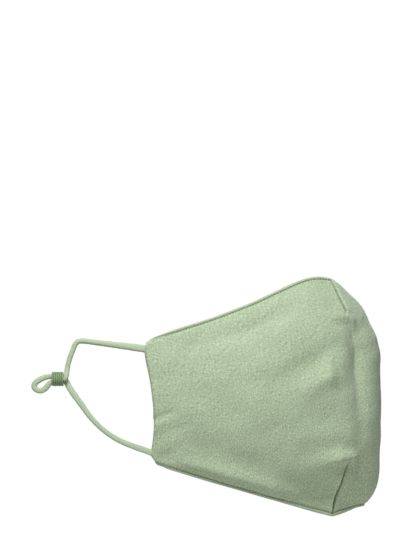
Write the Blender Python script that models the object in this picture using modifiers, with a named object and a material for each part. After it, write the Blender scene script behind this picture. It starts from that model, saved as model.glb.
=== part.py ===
# Darted cloth face mask with two ear loops, each drawn in by a ribbed bead.
# Metres, +Z up. The front of the mask faces -Y and the wearer's right side is at -X.
# The origin is on the inner face of the top edge's middle, where the nose bridge carries the mask.
import math

import bmesh
import bpy
from mathutils import Vector

# Driving sizes of the cloth
FRONT_TO_EAR = 0.1288    # from the front line back to the ear edges
CLOTH_HEIGHT = 0.1355    # from the feet of the chin darts up to the top edge's peak
FRONT_WIDTH = 0.054      # between the two ridges, at half height
EAR_SPREAD = 0.100       # between the two ear edges
CHEEK_BULGE = 0.007      # how far a cheek swells out of the straight line from ridge to ear
WALL = 0.0018            # both layers of cloth together
HEM_THICK = 0.0016       # rolled edge along the top and the bottom
HEM_REACH = 0.97         # share of each cheek that the roll follows before it fades out
CLEARANCE = 0.0003       # gap between pieces that touch on the real mask

# Driving sizes of the ear loops and their beads
CORD_THICK = 0.0026      # knitted elastic
LOOP_REACH = 0.0457      # from the ear edge back to the bead's front end
UPPER_ANCHOR = 0.925     # share of the ear edge where the upper end is sewn in
LOWER_ANCHOR = 0.07      # share of the ear edge where the lower end is sewn in
CORD_STEPS = 2           # points of the tube for each point of its route
BEAD_LENGTH = 0.0064
BEAD_WALL = 0.00045      # between the bore and the valleys of the ribs
BEAD_RIBS = 5
RIB_HEIGHT = 0.0004
BEAD_CORNER = 0.0002
BEAD_SIDES = 20

# Levels of the cloth from the bottom edge (0) to the top edge (1).
# Back is a share of FRONT_TO_EAR, up of CLOTH_HEIGHT, ridge_out of half FRONT_WIDTH
# and ear_out of half EAR_SPREAD. Crease sharpens the ridge up to the next level: it is a
# sewn dart at both ends and a soft turn between them.
LEVEL_COLUMNS = ("level", "centre_back", "centre_up", "ridge_out", "ridge_back", "ridge_up",
                 "ear_out", "ear_back", "ear_up", "crease")
LEVEL_ROWS = (
    (0.00, 0.028, 0.054, 0.74, 0.196, 0.013, 0.94, 1.003, 0.236, 1.0),
    (0.12, -0.011, 0.148, 0.93, 0.172, 0.140, 0.96, 0.990, 0.298, 0.6),
    (0.30, -0.016, 0.318, 1.03, 0.125, 0.285, 0.98, 0.979, 0.380, 0.0),
    (0.50, -0.009, 0.512, 1.02, 0.080, 0.492, 1.00, 0.988, 0.483, 0.0),
    (0.70, -0.028, 0.718, 0.97, 0.068, 0.702, 1.00, 1.000, 0.583, 0.5),
    (0.88, 0.061, 0.879, 0.78, 0.138, 0.856, 0.99, 1.026, 0.674, 1.0),
    (1.00, 0.187, 0.978, 0.50, 0.215, 0.984, 0.98, 1.022, 0.727, 0.0),
)

# Height of the top and the bottom edge, as shares of CLOTH_HEIGHT, at places along the
# cheek from the ridge (0) to the ear edge (1).
CHEEK_COLUMNS = ("along", "bottom_up", "top_up")
CHEEK_ROWS = (
    (0.12, 0.033, 0.999),
    (0.38, 0.095, 0.890),
    (0.68, 0.160, 0.805),
)

# Soft dents behind the ridge: row of LEVEL_ROWS, row of CHEEK_ROWS, depth.
DENTS = (
    (3, 0, 0.0020),
    (4, 0, 0.0024),
    (2, 0, 0.0008),
)

# Place of the one column of cage points between the middle and the ridge.
FRONT_OUT = 0.62
FRONT_BACK = 0.30

# Route of an ear loop's middle line, from the upper end down to the lower one, through the
# bead, round the slack end and back through the bead. Reach is a share of LOOP_REACH behind
# the ear edge, and rise a share of the height between the two anchors. Strand moves a point
# away (1 or -1) by half of what two strands need that pass each other in the bead: sideways
# in front of the bead, up and down behind it, and the pair twists between the two places.
LOOP_ROUTE = (
    (0.014, 0.996, 0.0), (0.169, 1.012, 0.0), (0.386, 1.033, 0.0), (0.602, 1.054, 0.0),
    (0.735, 1.067, 0.0), (0.808, 1.063, 0.0), (0.848, 1.036, 0.0), (0.878, 0.986, 0.0),
    (0.914, 0.925, 0.0), (0.943, 0.863, 0.0), (0.963, 0.805, 0.0), (0.980, 0.736, 1.0),
    (1.004, 0.712, 1.0), (1.050, 0.710, 1.0), (1.100, 0.710, 1.0), (1.157, 0.710, 1.0),
    (1.217, 0.706, 1.0), (1.283, 0.689, 1.0), (1.337, 0.678, 0.5), (1.373, 0.663, 0.0),
    (1.378, 0.631, 0.0), (1.349, 0.607, 0.0), (1.301, 0.611, -0.5), (1.247, 0.643, -1.0),
    (1.205, 0.680, -1.0), (1.160, 0.707, -1.0), (1.110, 0.710, -1.0), (1.050, 0.710, -1.0),
    (1.004, 0.708, -1.0), (0.978, 0.678, -1.0), (0.950, 0.632, -0.5), (0.898, 0.566, 0.0),
    (0.819, 0.476, 0.0), (0.723, 0.365, 0.0), (0.614, 0.269, 0.0), (0.500, 0.193, 0.0),
    (0.361, 0.127, 0.0), (0.205, 0.075, 0.0), (0.075, 0.036, 0.0), (0.018, 0.008, 0.0),
)
BEAD_REACH = 1.086
BEAD_RISE = 0.710
TWIST_FROM = 1.02        # reach where the pair begins to twist
TWIST_TO = 1.15

# Looks: base colour (linear), roughness
LOOKS = {
    "cloth": ((0.402, 0.497, 0.345, 1.0), 0.92),
    "elastic": ((0.438, 0.545, 0.371, 1.0), 0.85),
    "bead": ((0.212, 0.305, 0.165, 1.0), 0.60),
}


def mix(first, last, share):
    return first + (last - first) * share


def rows_by_name(columns, rows):
    return [dict(zip(columns, row)) for row in rows]


LEVELS = rows_by_name(LEVEL_COLUMNS, LEVEL_ROWS)
CHEEKS = rows_by_name(CHEEK_COLUMNS, CHEEK_ROWS)
BOTTOM, TOP = LEVELS[0], LEVELS[-1]
RIDGE_COLUMN = 2


def cheek_point(level, cheek):
    """Point between the ridge and the ear edge, filled in from the cheek's four borders."""
    along, up_share = cheek["along"], level["level"]
    place = {}
    for name in ("back", "up"):
        ridge, ear = level["ridge_" + name], level["ear_" + name]
        ridge_straight = mix(BOTTOM["ridge_" + name], TOP["ridge_" + name], up_share)
        ear_straight = mix(BOTTOM["ear_" + name], TOP["ear_" + name], up_share)
        low, high = (mix(edge["ridge_" + name], edge["ear_" + name], along) for edge in (BOTTOM, TOP))
        low = cheek.get("bottom_" + name, low)
        high = cheek.get("top_" + name, high)
        bend = mix(ridge - ridge_straight, ear - ear_straight, along)
        place[name] = mix(low, high, up_share) + bend
    straight = mix(level["ridge_out"] * FRONT_WIDTH, level["ear_out"] * EAR_SPREAD, along) / 2
    swell = math.sin(math.pi * along ** 0.8) * (0.45 + 0.55 * math.sin(math.pi * up_share))
    return Vector((-(straight + CHEEK_BULGE * swell),
                   place["back"] * FRONT_TO_EAR, place["up"] * CLOTH_HEIGHT))


def cage_row(level):
    """Cage points of one level, from the middle of the front to the ear edge at -X."""
    centre = Vector((0.0, level["centre_back"] * FRONT_TO_EAR, level["centre_up"] * CLOTH_HEIGHT))
    ridge = Vector((-level["ridge_out"] * FRONT_WIDTH / 2,
                    level["ridge_back"] * FRONT_TO_EAR, level["ridge_up"] * CLOTH_HEIGHT))
    front = centre.lerp(ridge, FRONT_BACK)
    front.x = ridge.x * FRONT_OUT
    ear = Vector((-level["ear_out"] * EAR_SPREAD / 2,
                  level["ear_back"] * FRONT_TO_EAR, level["ear_up"] * CLOTH_HEIGHT))
    return [centre, front, ridge] + [cheek_point(level, cheek) for cheek in CHEEKS] + [ear]


def cage():
    """Rows of cage points of the half at -X, moved so that the nose seat is the origin."""
    rows = [cage_row(level) for level in LEVELS]
    for level_row, cheek_row, depth in DENTS:
        rows[level_row][RIDGE_COLUMN + 1 + cheek_row].x += depth
    top = rows[-1]
    seat = (4 * top[0] + 2 * Vector((0.0, top[1].y, top[1].z))) / 6
    seat.y += WALL
    return [[point - seat for point in row] for row in rows]


def soft_curve(points, steps):
    """Uniform cubic B-spline that ends on its first and last point, as a subdivided border does."""
    padded = [2 * points[0] - points[1]] + points + [2 * points[-1] - points[-2]]
    found = []
    for index in range(len(points) - 1):
        a, b, c, d = padded[index:index + 4]
        for step in range(steps):
            t = step / steps
            found.append(((1 - t) ** 3 * a + (3 * t ** 3 - 6 * t ** 2 + 4) * b
                          + (-3 * t ** 3 + 3 * t ** 2 + 3 * t + 1) * c + t ** 3 * d) / 6)
    return found + [points[-1].copy()]


def smooth_route(points, steps):
    """Smooth curve through the given points, read at a few places between each two of them."""
    padded = [2 * points[0] - points[1]] + points + [2 * points[-1] - points[-2]]
    found = []
    for index in range(len(points) - 1):
        a, b, c, d = padded[index:index + 4]
        for step in range(steps):
            t = step / steps
            found.append(0.5 * (2 * b + (c - a) * t + (2 * a - 5 * b + 4 * c - d) * t * t
                                + (3 * b - a - 3 * c + d) * t ** 3))
    return found + [points[-1].copy()]


def material(name):
    colour, roughness = LOOKS[name]
    look = bpy.data.materials.new(name)
    look.use_nodes = True
    shader = look.node_tree.nodes["Principled BSDF"]
    shader.inputs["Base Color"].default_value = colour
    shader.inputs["Roughness"].default_value = roughness
    shader.inputs["Metallic"].default_value = 0.0
    return look


def add_object(name, data, look):
    shape = bpy.data.objects.new(name, data)
    data.materials.append(look)
    COLLECTION.objects.link(shape)
    return shape


def add_tube(name, points, thickness, look):
    """Round tube with filled caps along the given points."""
    curve = bpy.data.curves.new(name, "CURVE")
    curve.dimensions = "3D"
    curve.bevel_depth = thickness / 2
    curve.bevel_resolution = 2
    curve.use_fill_caps = True
    spline = curve.splines.new("POLY")
    spline.points.add(len(points) - 1)
    for spot, point in zip(spline.points, points):
        spot.co = (*point, 1.0)
    return add_object(name, curve, look)


def make_cloth(rows, look):
    """Cloth of the mask: half a cage, mirrored, rounded and given its wall."""
    mesh = bpy.data.meshes.new("mask_cloth")
    sheet = bmesh.new()
    crease = sheet.edges.layers.float.new("crease_edge")
    grid = [[sheet.verts.new(point) for point in row] for row in rows]
    for lower, upper in zip(grid, grid[1:]):
        for index in range(len(lower) - 1):
            sheet.faces.new((lower[index], upper[index], upper[index + 1], lower[index + 1]))
    for row, level in enumerate(LEVELS[:-1]):
        edge = sheet.edges.get((grid[row][RIDGE_COLUMN], grid[row + 1][RIDGE_COLUMN]))
        edge[crease] = level["crease"]
    sheet.to_mesh(mesh)
    sheet.free()
    mesh.shade_smooth()
    cloth = add_object("mask_cloth", mesh, look)
    mirror = cloth.modifiers.new("other half", "MIRROR")
    mirror.merge_threshold = 0.00005
    rounding = cloth.modifiers.new("rounding", "SUBSURF")
    rounding.levels = 2
    rounding.render_levels = 2
    rounding.boundary_smooth = "PRESERVE_CORNERS"
    wall = cloth.modifiers.new("wall", "SOLIDIFY")
    wall.thickness = WALL
    wall.offset = -1.0
    wall.use_even_offset = True
    return cloth


def hem_route(edge, inner):
    """Middle line of the roll beyond one edge of the cloth, from ear to ear."""
    beyond = []
    for index, point in enumerate(edge):
        outward = (point - inner[index]).normalized()
        neighbours = edge[max(index - 1, 0)], edge[min(index + 1, len(edge) - 1)]
        along = (neighbours[1] - neighbours[0]).normalized()
        inside = outward.cross(along).normalized()
        if inside.x < 0:
            inside.negate()
        if index == 0:
            inside = Vector((0.0, 1.0, 0.0))
            outward.x = 0.0
        beyond.append(point + outward * (CLEARANCE + HEM_THICK / 2) + inside * WALL / 2)
    mirrored = [Vector((-point.x, point.y, point.z)) for point in beyond]
    front = mirrored[RIDGE_COLUMN:0:-1] + beyond[:RIDGE_COLUMN + 1]
    near = soft_curve(beyond[RIDGE_COLUMN:], 5)
    kept = near[1:round(len(near) * HEM_REACH)]
    far = [Vector((-point.x, point.y, point.z)) for point in reversed(kept)]
    return far + soft_curve(front, 4) + kept


def make_hems(rows, look):
    add_tube("top_hem", hem_route(rows[-1], rows[-2]), HEM_THICK, look)
    add_tube("bottom_hem", hem_route(rows[0], rows[1]), HEM_THICK, look)


def ear_edge_point(rows, share):
    """Point at a share of the ear edge, from its lower to its upper corner, in mid wall."""
    edge = soft_curve([row[-1] for row in rows], 8)
    whole = share * (len(edge) - 1)
    index = int(whole)
    point = edge[index].lerp(edge[index + 1], whole - index)
    point.x += WALL / 2
    return point


def loop_point(rows, reach, rise, strand):
    """Point of an ear loop's route at -X."""
    lower, upper = ear_edge_point(rows, LOWER_ANCHOR), ear_edge_point(rows, UPPER_ANCHOR)
    point = lower.lerp(upper, rise)
    point.y += CLEARANCE + reach * LOOP_REACH
    share = (reach - TWIST_FROM) / (TWIST_TO - TWIST_FROM)
    turn = min(max(share, 0.0), 1.0) * math.pi / 2
    away = strand * (CORD_THICK + CLEARANCE) / 2
    point.x -= away * math.cos(turn)
    point.z += away * math.sin(turn)
    return point


def make_loops(rows, look):
    route = smooth_route([loop_point(rows, *place) for place in LOOP_ROUTE], CORD_STEPS)
    add_tube("ear_loop_right", route, CORD_THICK, look)
    add_tube("ear_loop_left", [Vector((-p.x, p.y, p.z)) for p in route], CORD_THICK, look)


def bead_profile():
    """Closed outline of a bead at +X, its outer side from top to bottom with the ribs on it."""
    bore = CORD_THICK + 1.5 * CLEARANCE
    valley, half = bore + BEAD_WALL, BEAD_LENGTH / 2
    points = [(bore, half), (valley - BEAD_CORNER, half)]
    steps = BEAD_RIBS * 4
    span = BEAD_LENGTH - 2 * BEAD_CORNER
    for step in range(steps + 1):
        wave = 0.5 - 0.5 * math.cos(2 * math.pi * step / 4)
        points.append((valley + RIB_HEIGHT * wave, span / 2 - span * step / steps))
    points += [(valley - BEAD_CORNER, -half), (bore, -half)]
    return [(radius, 0.0, height) for radius, height in points]


def make_beads(rows, look):
    """Ribbed beads that grip the two strands of each ear loop."""
    profile = bead_profile()
    mesh = bpy.data.meshes.new("adjuster")
    mesh.from_pydata(profile, [(i, (i + 1) % len(profile)) for i in range(len(profile))], [])
    for side, name in ((1, "adjuster_right"), (-1, "adjuster_left")):
        bead = add_object(name, mesh.copy(), look)
        place = loop_point(rows, BEAD_REACH, BEAD_RISE, 0.0)
        bead.location = (side * place.x, place.y, place.z)
        bead.rotation_euler = (math.radians(90), 0.0, 0.0)
        turning = bead.modifiers.new("turning", "SCREW")
        turning.steps = BEAD_SIDES
        turning.render_steps = BEAD_SIDES
        turning.use_merge_vertices = True
        turning.merge_threshold = 0.00005


def main():
    rows = cage()
    cloth_look, elastic_look, bead_look = (material(name) for name in LOOKS)
    make_cloth(rows, cloth_look)
    make_hems(rows, cloth_look)
    make_loops(rows, elastic_look)
    make_beads(rows, bead_look)


for old in list(bpy.data.objects):
    bpy.data.objects.remove(old, do_unlink=True)
COLLECTION = bpy.data.collections.new("cloth face mask")
bpy.context.scene.collection.children.link(COLLECTION)
main()
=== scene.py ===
# %% [markdown]
# # A darted cloth face mask
# The mask is one cloth shell with two darts at the nose and two at the chin, a rolled and
# stitched edge above and below, and an elastic loop for each ear that a ribbed bead draws in.
# The plain solids come first, as a frame that nothing here moves. Each of them is then
# replaced by a finer piece that keeps its place and its size.

import math

import bpy
import numpy as np
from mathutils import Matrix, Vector


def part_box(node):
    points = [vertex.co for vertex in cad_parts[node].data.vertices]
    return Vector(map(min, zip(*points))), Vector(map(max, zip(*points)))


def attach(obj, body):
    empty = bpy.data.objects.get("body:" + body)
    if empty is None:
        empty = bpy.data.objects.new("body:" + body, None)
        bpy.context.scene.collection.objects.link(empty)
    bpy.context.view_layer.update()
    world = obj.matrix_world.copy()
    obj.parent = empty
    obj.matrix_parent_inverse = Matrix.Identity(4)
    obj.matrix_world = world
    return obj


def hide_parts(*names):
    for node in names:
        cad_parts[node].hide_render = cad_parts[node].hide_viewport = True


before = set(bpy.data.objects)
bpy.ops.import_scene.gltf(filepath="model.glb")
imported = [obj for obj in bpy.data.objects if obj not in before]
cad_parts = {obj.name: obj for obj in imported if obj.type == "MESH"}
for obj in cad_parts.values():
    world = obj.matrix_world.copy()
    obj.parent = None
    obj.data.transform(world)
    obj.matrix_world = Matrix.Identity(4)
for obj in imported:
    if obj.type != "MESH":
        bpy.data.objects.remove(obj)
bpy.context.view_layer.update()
cloth_low, cloth_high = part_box("mask_cloth")
print("frame:", sorted(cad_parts))
print("cloth from", tuple(cloth_low), "to", tuple(cloth_high))

# %% [markdown]
# ## The camera
# The picture looks straight at the wearer's right side, so the lens is very long and stands
# far off. The far ear loop then hides behind the near one, once the camera stands a little
# lower and further back than the mask: a short lens would show both loops side by side.

# %% Place the camera
PICTURE_PIXELS = (413, 540)
PICTURE_WIDTH = 0.2305                       # what the picture spans at the near ear loop
CAMERA_AWAY = 8.0
CAMERA_BACK = 0.062                          # towards the ears
CAMERA_DOWN = 0.071
NEAR_LOOP = 0.047
AIM = Vector((-NEAR_LOOP, 0.0714, 0.0061))
SENSOR = 0.036

camera_data = bpy.data.cameras.new("camera")
camera = bpy.data.objects.new("camera", camera_data)
bpy.context.scene.collection.objects.link(camera)
camera.location = AIM + Vector((-CAMERA_AWAY, CAMERA_BACK, -CAMERA_DOWN))
camera.rotation_mode = "QUATERNION"
camera.rotation_quaternion = (AIM - camera.location).to_track_quat("-Z", "Y")
picture_height = PICTURE_WIDTH * PICTURE_PIXELS[1] / PICTURE_PIXELS[0]
camera_data.sensor_width = SENSOR * 1000
camera_data.lens = SENSOR * 1000 * CAMERA_AWAY / picture_height
camera_data.clip_end = 100.0
bpy.context.scene.camera = camera
bpy.context.scene.view_settings.view_transform = "Standard"
print("lens in mm:", round(camera_data.lens))

# %% [markdown]
# ## The sizes that drive the mask
# A sewn mask is cut for a face: how far it reaches from the front to the ear, how high it is,
# and how wide it spreads in front and at the ears. Every place below is a share of these sizes,
# as on a pattern that is graded up or down. The plain solids were made from the same ones.

# %% Named sizes
FRONT_TO_EAR = 0.1288
CLOTH_HEIGHT = 0.1355
FRONT_WIDTH = 0.054
EAR_SPREAD = 0.100
CHEEK_BULGE = 0.007
WALL = 0.0018
HEM_THICK = 0.0016
CLEARANCE = 0.0003
FRONT_OUT = 0.62                             # a point between the middle and the ridge, as shares
FRONT_BACK = 0.30
print("front to ear in mm:", FRONT_TO_EAR * 1000, "height in mm:", CLOTH_HEIGHT * 1000)

# %% [markdown]
# ## The levels of the mask
# The mask could be cut flat and closed along its darts by a simulation, but its final form
# would then be hard to steer. Here its form is drawn directly: seven levels from the bottom
# edge to the top edge, each with a point in the middle, on the ridge and at the ear. The last
# number of a level is how sharp the ridge is there: darts pull it sharp, whole cloth rounds it.

# %% Levels, cheek rows and dents
LEVEL_COLUMNS = ("level", "centre_back", "centre_up", "ridge_out", "ridge_back", "ridge_up",
                 "ear_out", "ear_back", "ear_up", "crease")
LEVEL_ROWS = (
    (0.00, 0.034, 0.057, 0.74, 0.196, 0.013, 0.94, 1.003, 0.236, 0.7),
    (0.12, -0.018, 0.146, 0.93, 0.172, 0.140, 0.96, 0.990, 0.298, 0.6),
    (0.30, -0.016, 0.318, 1.03, 0.125, 0.285, 0.98, 0.979, 0.380, 0.0),
    (0.50, -0.009, 0.512, 1.02, 0.080, 0.492, 1.00, 0.988, 0.483, 0.0),
    (0.70, -0.028, 0.718, 0.97, 0.068, 0.702, 1.00, 1.000, 0.583, 0.5),
    (0.88, 0.061, 0.879, 0.78, 0.138, 0.856, 0.99, 1.026, 0.674, 1.0),
    (1.00, 0.187, 0.978, 0.50, 0.215, 0.984, 0.98, 1.022, 0.727, 0.0),
)
CHEEK_COLUMNS = ("along", "bottom_up", "top_up")
CHEEK_ROWS = (
    (0.12, 0.033, 0.999),
    (0.38, 0.095, 0.890),
    (0.68, 0.160, 0.805),
)
DENTS = (                                    # level, cheek row and depth
    (3, 0, 0.0020),
    (4, 0, 0.0024),
    (2, 0, 0.0008),
)
LEVELS = [dict(zip(LEVEL_COLUMNS, row)) for row in LEVEL_ROWS]
CHEEKS = [dict(zip(CHEEK_COLUMNS, row)) for row in CHEEK_ROWS]
BOTTOM, TOP = LEVELS[0], LEVELS[-1]
RIDGE_COLUMN = 2                             # place of the ridge in a level's list of points
print("levels:", len(LEVELS), "cheek rows:", len(CHEEKS))

# %% [markdown]
# ## The cage
# A cage is the coarse mesh that a smooth one is rounded from. The points between the ridge and
# the ear are filled in from the four borders of the cheek, as a pattern maker draws a panel
# from its edges, and a swell is added so that the cheek bulges. The whole cage is then moved so
# that the seat of the nose lies at the origin, where the plain solids have it.

# %% Fill in the cage


def mix(first, last, share):
    return first + (last - first) * share


def cheek_point(level, cheek):
    """Point between the ridge and the ear edge, filled in from the cheek's four borders."""
    along, up_share = cheek["along"], level["level"]
    place = {}
    for name in ("back", "up"):
        ridge, ear = level["ridge_" + name], level["ear_" + name]
        ridge_straight = mix(BOTTOM["ridge_" + name], TOP["ridge_" + name], up_share)
        ear_straight = mix(BOTTOM["ear_" + name], TOP["ear_" + name], up_share)
        low, high = (mix(edge["ridge_" + name], edge["ear_" + name], along) for edge in (BOTTOM, TOP))
        low = cheek.get("bottom_" + name, low)
        high = cheek.get("top_" + name, high)
        bend = mix(ridge - ridge_straight, ear - ear_straight, along)
        place[name] = mix(low, high, up_share) + bend
    straight = mix(level["ridge_out"] * FRONT_WIDTH, level["ear_out"] * EAR_SPREAD, along) / 2
    swell = math.sin(math.pi * along ** 0.8) * (0.45 + 0.55 * math.sin(math.pi * up_share))
    return Vector((-(straight + CHEEK_BULGE * swell),
                   place["back"] * FRONT_TO_EAR, place["up"] * CLOTH_HEIGHT))


def cage_row(level):
    """Cage points of one level, from the middle of the front to the ear edge at -X."""
    centre = Vector((0.0, level["centre_back"] * FRONT_TO_EAR, level["centre_up"] * CLOTH_HEIGHT))
    ridge = Vector((-level["ridge_out"] * FRONT_WIDTH / 2,
                    level["ridge_back"] * FRONT_TO_EAR, level["ridge_up"] * CLOTH_HEIGHT))
    front = centre.lerp(ridge, FRONT_BACK)
    front.x = ridge.x * FRONT_OUT
    ear = Vector((-level["ear_out"] * EAR_SPREAD / 2,
                  level["ear_back"] * FRONT_TO_EAR, level["ear_up"] * CLOTH_HEIGHT))
    return [centre, front, ridge] + [cheek_point(level, cheek) for cheek in CHEEKS] + [ear]


def cage():
    """Rows of cage points of the half at -X, moved so that the nose seat is the origin."""
    rows = [cage_row(level) for level in LEVELS]
    for level_row, cheek_row, depth in DENTS:
        rows[level_row][RIDGE_COLUMN + 1 + cheek_row].x += depth
    middle, beside = rows[-1][0], rows[-1][1]
    seat = (4 * middle + 2 * Vector((0.0, beside.y, beside.z))) / 6    # where rounding puts it
    seat.y += WALL
    return [[point - seat for point in row] for row in rows]


cage_rows = cage()
print("cage:", len(cage_rows), "levels of", len(cage_rows[0]), "points each")

# %% [markdown]
# ## Two kinds of smooth line
# The ear edge is a soft curve that only its ends hold, as the border of a rounded mesh is. A
# cord's route is a line that passes through each of its points, because the points were chosen
# where the elastic is seen. Both could be Blender curves, but plain lists of points are needed
# here, to find places on them.

# %% Soft curve and smooth route


def soft_curve(points, steps):
    """Uniform cubic B-spline that ends on its first and last point."""
    padded = [2 * points[0] - points[1]] + points + [2 * points[-1] - points[-2]]
    found = []
    for index in range(len(points) - 1):
        a, b, c, d = padded[index:index + 4]
        for step in range(steps):
            t = step / steps
            found.append(((1 - t) ** 3 * a + (3 * t ** 3 - 6 * t ** 2 + 4) * b
                          + (-3 * t ** 3 + 3 * t ** 2 + 3 * t + 1) * c + t ** 3 * d) / 6)
    return found + [points[-1].copy()]


def smooth_route(points, steps):
    """Smooth curve through the given points, read at a few places between each two of them."""
    padded = [2 * points[0] - points[1]] + points + [2 * points[-1] - points[-2]]
    found = []
    for index in range(len(points) - 1):
        a, b, c, d = padded[index:index + 4]
        for step in range(steps):
            t = step / steps
            found.append(0.5 * (2 * b + (c - a) * t + (2 * a - 5 * b + 4 * c - d) * t * t
                                + (3 * b - a - 3 * c + d) * t ** 3))
    return found + [points[-1].copy()]


def walked_along(points):
    """Distance from the first point to each point of a line."""
    steps = np.linalg.norm(np.diff(points, axis=0), axis=-1)
    return np.concatenate([[0.0], np.cumsum(steps)])


def evenly(points, spacing):
    """The same line with its points at an even spacing, as an array."""
    line = np.array([tuple(p) for p in points])
    distance = walked_along(line)
    count = max(2, round(distance[-1] / spacing) + 1)
    at = np.linspace(0.0, distance[-1], count)
    return np.stack([np.interp(at, distance, line[:, axis]) for axis in range(3)], axis=1)


EDGE_STEPS = 8
ear_edge = soft_curve([row[-1] for row in cage_rows], EDGE_STEPS)
print("ear edge in mm:", round(walked_along(np.array(ear_edge))[-1] * 1000, 1))

# %% [markdown]
# ## The ear loops
# Each loop is one length of knitted elastic. It leaves the upper corner of an ear edge, runs
# back, turns down into the bead, makes a slack end behind it, passes the bead again and
# returns to the lower corner. It is a mesh tube along the route, because a curve's round
# bevel couldn't be pressed flat where the cloth holds the elastic. The route is a short list of
# given points, since no formula gives the way a soft elastic hangs.

# %% Route of an ear loop
CORD_THICK = 0.0026
LOOP_REACH = 0.0457
UPPER_ANCHOR = 0.925                         # shares of the ear edge
LOWER_ANCHOR = 0.07
# how far back, as a share of the reach; how high between the anchors; which strand in the bead
LOOP_ROUTE = (
    (0.014, 0.996, 0.0), (0.169, 1.012, 0.0), (0.386, 1.033, 0.0), (0.602, 1.054, 0.0),
    (0.735, 1.067, 0.0), (0.808, 1.063, 0.0), (0.848, 1.036, 0.0), (0.878, 0.986, 0.0),
    (0.914, 0.925, 0.0), (0.943, 0.863, 0.0), (0.963, 0.805, 0.0), (0.980, 0.736, 1.0),
    (1.004, 0.712, 1.0), (1.050, 0.710, 1.0), (1.100, 0.710, 1.0), (1.157, 0.710, 1.0),
    (1.217, 0.706, 1.0), (1.283, 0.689, 1.0), (1.337, 0.678, 0.5), (1.373, 0.663, 0.0),
    (1.378, 0.631, 0.0), (1.349, 0.607, 0.0), (1.301, 0.611, -0.5), (1.247, 0.643, -1.0),
    (1.205, 0.680, -1.0), (1.160, 0.707, -1.0), (1.110, 0.710, -1.0), (1.050, 0.710, -1.0),
    (1.004, 0.708, -1.0), (0.978, 0.678, -1.0), (0.950, 0.632, -0.5), (0.898, 0.566, 0.0),
    (0.819, 0.476, 0.0), (0.723, 0.365, 0.0), (0.614, 0.269, 0.0), (0.500, 0.193, 0.0),
    (0.361, 0.127, 0.0), (0.205, 0.077, 0.0), (0.075, 0.042, 0.0), (0.018, 0.026, 0.0),
)
TWIST_FROM = 1.02                            # the two strands twist inside the bead
TWIST_TO = 1.15
SEWN_IN = 0.0035                             # how far each end reaches into the cloth
RING_STEP = 0.0005


def ear_edge_point(share):
    """Point at a share of the ear edge, from its lower to its upper corner, in mid wall."""
    whole = share * (len(ear_edge) - 1)
    index = int(whole)
    point = ear_edge[index].lerp(ear_edge[index + 1], whole - index)
    point.x += WALL / 2
    return point


lower_anchor, upper_anchor = ear_edge_point(LOWER_ANCHOR), ear_edge_point(UPPER_ANCHOR)


def loop_point(reach, rise, strand):
    """Point of an ear loop's route at -X, in metres."""
    point = lower_anchor.lerp(upper_anchor, rise)
    point.y += CLEARANCE + reach * LOOP_REACH
    share = (reach - TWIST_FROM) / (TWIST_TO - TWIST_FROM)
    turn = min(max(share, 0.0), 1.0) * math.pi / 2
    away = strand * (CORD_THICK + CLEARANCE) / 2
    point.x -= away * math.cos(turn)
    point.z += away * math.sin(turn)
    return point


def loop_line():
    """Middle line of the loop at -X, with both ends carried into the cloth."""
    points = [loop_point(*place) for place in LOOP_ROUTE]
    first = points[0] - (points[1] - points[0]).normalized() * SEWN_IN
    last = points[-1] + (points[-1] - points[-2]).normalized() * SEWN_IN
    return evenly(smooth_route([first] + points + [last], 12), RING_STEP)


right_line = loop_line()

# %% [markdown]
# ## Small helpers for meshes
# Every piece is linked to the scene in one way, and its faces have to point outwards, because a
# renderer and an exporter tell the outside by them. The signed volume of a closed mesh says
# which way they point, so it is measured rather than trusted. A tube needs a side direction that
# is carried on from ring to ring: one that is worked out afresh could flip where the loop turns.

# %% Small helpers for meshes


def add_piece(name, mesh):
    piece = bpy.data.objects.new(name, mesh)
    bpy.context.scene.collection.objects.link(piece)
    return piece


def fix_outward(mesh):
    """Turn a closed mesh's faces outwards if its signed volume says that they point in."""
    points = np.array([v.co for v in mesh.vertices])
    volume = 0.0
    for face in mesh.polygons:
        corners = points[list(face.vertices)]
        for k in range(1, len(corners) - 1):
            volume += np.dot(corners[0], np.cross(corners[k], corners[k + 1]))
    if volume < 0:
        mesh.flip_normals()


def side_of_line(line):
    """Direction along a line at each point, and a side and an upright that never twist."""
    along = np.gradient(line, axis=0)
    along /= np.linalg.norm(along, axis=1)[:, None]
    side = np.cross(along[0], (0.0, 0.0, 1.0))
    side /= np.linalg.norm(side)
    sides = []
    for direction in along:
        side = side - direction * np.dot(side, direction)
        side /= np.linalg.norm(side)
        sides.append(side)
    sides = np.array(sides)
    return along, sides, np.cross(sides, along)


print("upright at the first ring of the loop:", side_of_line(right_line)[2][0].round(2))

# %% [markdown]
# ## A tube with its own UV map
# The knit of the elastic has to run along it, also round the bends, so the tube carries a UV
# map: across is the turn round the tube, along is the length walked, in metres. The same tube
# is used for the rolled edges further down.

# %% Make a tube mesh
BLUNT_END = 0.4                              # how far an end bulges, as a share of its radius


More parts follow.
